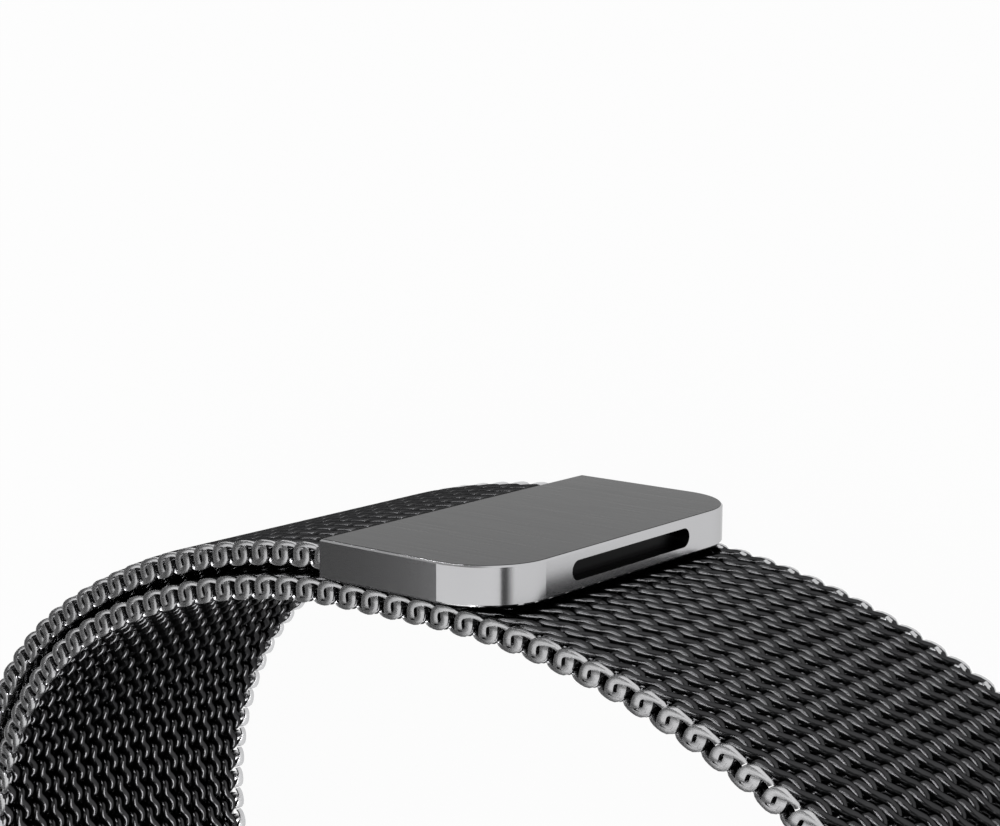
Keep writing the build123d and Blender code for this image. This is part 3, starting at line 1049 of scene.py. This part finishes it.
@dataclass(frozen=True)
class CoilSpring:
    """A spring bar's spring, built at one fixed length; it doesn't shorten as the bar's
    sliding tip goes in.
    """

    bar: str
    body: str
    joint: str
    finish: Finish
    travel: float = 1.1
    spare: float = 0.02
    wire_radius: float = 0.1
    turns: int = 18
    closed_turns: float = 1.5
    closed_pitch: float = 2.1
    rings_per_turn: int = 20
    wire_sides: int = 8
    crease: float = 60

    def build(self) -> bpy.types.Object:
        """Builds the spring in its node's box, at one length that the tip's slide
        doesn't change.

        The wire goes round at an even pace. It climbs by the closed pitch, in radii of
        the wire, in each closed turn at the ends, and evenly between them.

        Returns:
            The spring's object.
        """
        node = f"{self.bar}_spring"
        low, high = (np.array(corner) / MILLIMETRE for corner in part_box(node))
        middle = (low + high) / 2
        radius = (high[0] - low[0]) / 2 - self.wire_radius
        bottom, top = low[2] + self.wire_radius, high[2] - self.wire_radius
        lift = self.closed_turns * self.closed_pitch * self.wire_radius
        turn = np.arange(self.turns * self.rings_per_turn + 1) / self.rings_per_turn
        bends = [0, self.closed_turns, self.turns - self.closed_turns, self.turns]
        height = np.interp(turn, bends, [bottom, bottom + lift, top - lift, top])
        angle = 2 * np.pi * turn
        outward = np.stack([np.cos(angle), np.sin(angle), 0 * angle], axis=-1)
        line = middle * (1, 1, 0) + radius * outward
        line[:, 2] = height
        wire = round_wire(line, outward, self.wire_radius, self.wire_sides)
        points, faces = tubes(wire[None] * MILLIMETRE)
        made = mesh_object(f"{self.bar}_coil_spring", points, faces, self.crease)
        made.data.materials.append(self.finish.material())
        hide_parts(node)
        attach(made, self.body)
        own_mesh(made)
        return made


def dress(finishes: dict[str, Finish]) -> None:
    """Gives the frame's own nodes their finishes.

    Args:
        finishes: a finish for each node's name.
    """
    for name, finish in finishes.items():
        mesh = frame["nodes"][name].data
        if not mesh.materials:
            mesh.materials.append(None)
        for index in range(len(mesh.materials)):
            mesh.materials[index] = finish.material()
        log.info("%s: %s", name, finish.name)


# The studio


@dataclass(frozen=True)
class Lamp:
    """A soft box: its place in metres, its size, and its brightness."""

    name: str
    place: tuple[float, float, float]
    aim: tuple[float, float, float]
    size: tuple[float, float]
    brightness: float
    in_metal: bool = True
    on_matte: bool = True

    def make(self) -> None:
        """Makes the lamp, turned to its aim. Its power is brightness x pi x area."""
        data = bpy.data.lights.new(self.name, "AREA")
        data.shape = "RECTANGLE"
        data.size, data.size_y = self.size
        data.energy = self.brightness * math.pi * self.size[0] * self.size[1]
        made = bpy.data.objects.new(self.name, data)
        made.location = self.place
        made.rotation_mode = "QUATERNION"
        way = Vector(self.aim) - Vector(self.place)
        made.rotation_quaternion = way.to_track_quat("-Z", "Y")
        made.visible_glossy, made.visible_diffuse = self.in_metal, self.on_matte
        made.visible_camera = False
        bpy.context.scene.collection.objects.link(made)


@dataclass(frozen=True)
class Studio:
    """A pale floor, a white surround and soft boxes."""

    lamps: tuple[Lamp, ...] = (
        Lamp(
            "overhead_strip",
            (-0.26, 0.175, 0.5),
            (-0.26, 0.175, 0),
            (1.27, 0.24),
            0.97,
            on_matte=False,
        ),
        Lamp(
            "upper_front_strip",
            (-0.15, -0.26, 0.5),
            (-0.15, -0.1, 0),
            (0.9, 0.07),
            18,
            on_matte=False,
        ),
        Lamp(
            "middle_front_strip",
            (-0.02, -0.44, 0.46),
            (0, 0, 0),
            (0.9, 0.05),
            14,
            on_matte=False,
        ),
        Lamp(
            "far_strip",
            (0.66, -0.11, 0.28),
            (0, 0, 0),
            (0.05, 0.12),
            9,
            on_matte=False,
        ),
        Lamp("front_strip", (0.05, -0.60, 0.34), (0, 0, 0), (0.7, 0.10), 7),
        Lamp(
            "back_softbox",
            (-0.15, 0.5, 0.095),
            (0, 0, 0.01),
            (1.3, 0.17),
            14,
            on_matte=False,
        ),
        Lamp("back_strip", (-0.10, 0.62, 0.10), (0, 0, 0), (0.6, 0.08), 5),
        Lamp(
            "soft_top", (-0.1, 0.1, 0.8), (0, 0, 0), (0.6, 0.6), 1.6, in_metal=False
        ),
    )
    ambient: float = 0.35
    ceiling: float = 0.07
    ceiling_start: float = 0.12
    ceiling_slope: float = 5.0
    floor_half_width: float = 2.0
    floor_colour: Colour = (0.8, 0.8, 0.8)
    floor_shown_share: float = 0.96

    @staticmethod
    def seen_directly(graph: Graph) -> Wire:
        """One for the rays that show the background, nought for those that light."""
        camera = graph.node("ShaderNodeLightPath", output="Is Camera Ray")
        glossy = graph.node("ShaderNodeLightPath", output="Is Glossy Ray")
        passed = graph.node("ShaderNodeLightPath", output="Is Transmission Ray")
        return camera.math("MAXIMUM", glossy).math("MAXIMUM", passed)

    def make_world(self) -> None:
        """A white surround with a darker ceiling, which gives only a moderate light."""
        world = bpy.data.worlds.new("surround")
        world.use_nodes = True
        graph = Graph(world.node_tree)
        way = graph.node("ShaderNodeTexCoord", output="Generated")
        height = graph.node("ShaderNodeSeparateXYZ", inputs={0: way}, output="Z")
        above = ((height - self.ceiling_start) * self.ceiling_slope).clamped()
        glossy = graph.node("ShaderNodeLightPath", output="Is Glossy Ray")
        shown = 1 - above * glossy * (1 - self.ceiling)
        seen = self.seen_directly(graph)
        strength = seen * shown + (1 - seen) * self.ambient
        inputs = {"Color": rgba((1, 1, 1)), "Strength": strength}
        background = graph.node("ShaderNodeBackground", inputs=inputs)
        graph.node("ShaderNodeOutputWorld", inputs={"Surface": background})
        bpy.context.scene.world = world

    def make_floor(self) -> None:
        """A flat white floor that keeps a faint shadow."""
        half = self.floor_half_width
        square = ((-1, -1), (1, -1), (1, 1), (-1, 1))
        corners = [(x * half, y * half, 0) for x, y in square]
        mesh = bpy.data.meshes.new("floor")
        mesh.from_pydata(corners, [], [(0, 1, 2, 3)])
        floor = bpy.data.objects.new("floor", mesh)
        bpy.context.scene.collection.objects.link(floor)
        paint = bpy.data.materials.new("floor_paint")
        paint.use_nodes = True
        graph = Graph(paint.node_tree)
        inputs = {"Color": rgba(self.floor_colour), "Roughness": 1}
        matte = graph.node("ShaderNodeBsdfDiffuse", inputs=inputs)
        white = graph.node(
            "ShaderNodeEmission", inputs={"Color": rgba((1, 1, 1)), "Strength": 1}
        )
        share = self.seen_directly(graph) * self.floor_shown_share
        mixed = graph.node("ShaderNodeMixShader", inputs={0: share, 1: matte, 2: white})
        graph.node("ShaderNodeOutputMaterial", inputs={"Surface": mixed})
        mesh.materials.append(paint)

    def make(self) -> None:
        """Builds the whole studio."""
        self.make_world()
        self.make_floor()
        for lamp in self.lamps:
            lamp.make()
            log.info("%s at %s", lamp.name, lamp.place)


@dataclass(frozen=True)
class Camera:
    """The photograph's own place and angle."""

    place: tuple[float, float, float] = (-71.760, -46.642, 100.545)
    right: tuple[float, float, float] = (-0.7796, -0.0039, -0.6263)
    up: tuple[float, float, float] = (0.1034, -0.9871, -0.1226)
    forward: tuple[float, float, float] = (0.6177, 0.1603, -0.7699)
    lens: float = 73.47
    sensor_width: float = 36.0
    clip_start: float = 0.005
    clip_end: float = 10

    def make(self) -> None:
        """Makes the camera, and makes it the scene's."""
        data = bpy.data.cameras.new("camera")
        data.lens = self.lens
        data.sensor_fit = "HORIZONTAL"
        data.sensor_width = self.sensor_width
        data.clip_start, data.clip_end = self.clip_start, self.clip_end
        made = bpy.data.objects.new("camera", data)
        back = [-part for part in self.forward]
        turned = Matrix((self.right, self.up, back)).transposed().to_4x4()
        place = Vector(self.place) * MILLIMETRE
        made.matrix_world = Matrix.Translation(place) @ turned
        bpy.context.scene.collection.objects.link(made)
        bpy.context.scene.camera = made


def hinge_places(line: CentreLine) -> Hinges:
    """Where the frame's mesh hinges lie along the line, by the bodies they join."""
    found = {}
    for joint in frame["joints"]:
        if joint["type"] == "hinge" and joint["name"] != "ring_swivel":
            x, y, _ = (part / MILLIMETRE for part in joint["pos_m"])
            found[frozenset((joint["parent"], joint["child"]))] = line.nearest(x, y)
    return found


def main() -> None:
    """Builds the band and its studio, and reports each piece."""
    line = BandShape().line()
    low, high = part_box("mesh_under_clasp")
    hinges = hinge_places(line)
    weave = WovenMesh(line, low.z / MILLIMETRE, high.z / MILLIMETRE)
    log.info("line %.2f mm, pitch %.3f mm", line.length, weave.pitch)
    weave.build(hinges)
    dress(Clasp().finishes())
    ends = EndPieces()
    dress(ends.finishes())
    ends.springs()
    Camera().make()
    Studio().make()
    bpy.context.scene.view_settings.view_transform = "Standard"


if __name__ == "__main__":
    logging.basicConfig(level=logging.INFO, format="%(message)s")
    main()
